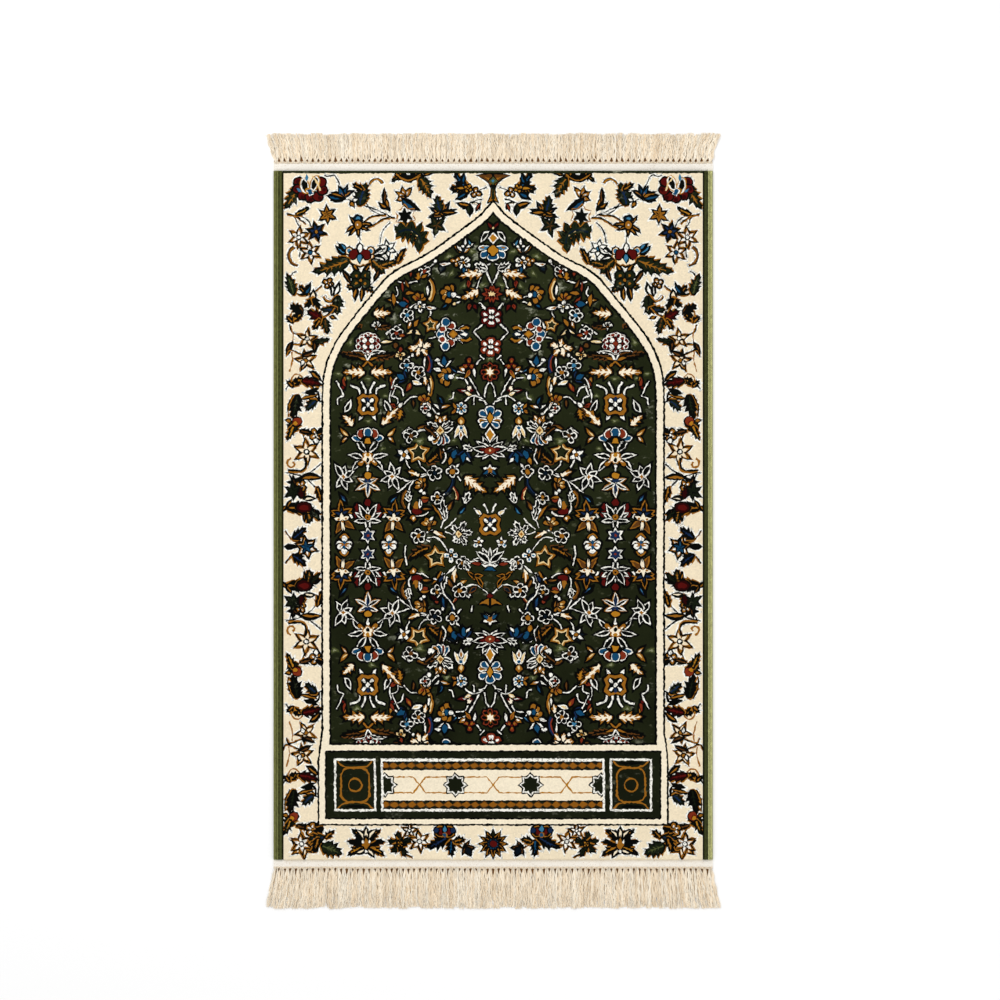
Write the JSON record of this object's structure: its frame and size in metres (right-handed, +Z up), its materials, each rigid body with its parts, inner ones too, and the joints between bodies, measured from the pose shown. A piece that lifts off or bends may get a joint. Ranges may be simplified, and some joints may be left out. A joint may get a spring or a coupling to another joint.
{
  "type": "prayer rug",
  "caption": "Flat rectangular prayer rug with a floral arch in its knotted pile, overcast side bindings, and a woven tape with a knotted fringe at each end.",
  "frame": {"origin": "on the floor under the centre of the rug's whole outline, fringes included", "axes": "+X across the rug, +Y along it towards the head end with the arch, +Z up out of the pile"},
  "size_m": [0.721, 1.2338, 0.009],
  "materials": {
    "pile": "dense cut pile, dark green field with ivory borders and floral figures",
    "side_binding": "olive yarn overcast round cords",
    "fringe_tape": "off-white flat-woven cotton",
    "fringe": "cream cotton strands, knotted"
  },
  "bodies": {
    "root": {"woven_rug": "pile", "binding_left": "side_binding", "binding_right": "side_binding", "fringe_tape_head": "fringe_tape", "fringe_tape_foot": "fringe_tape", "fringe_head": "fringe", "fringe_foot": "fringe"}
  },
  "joints": []
}
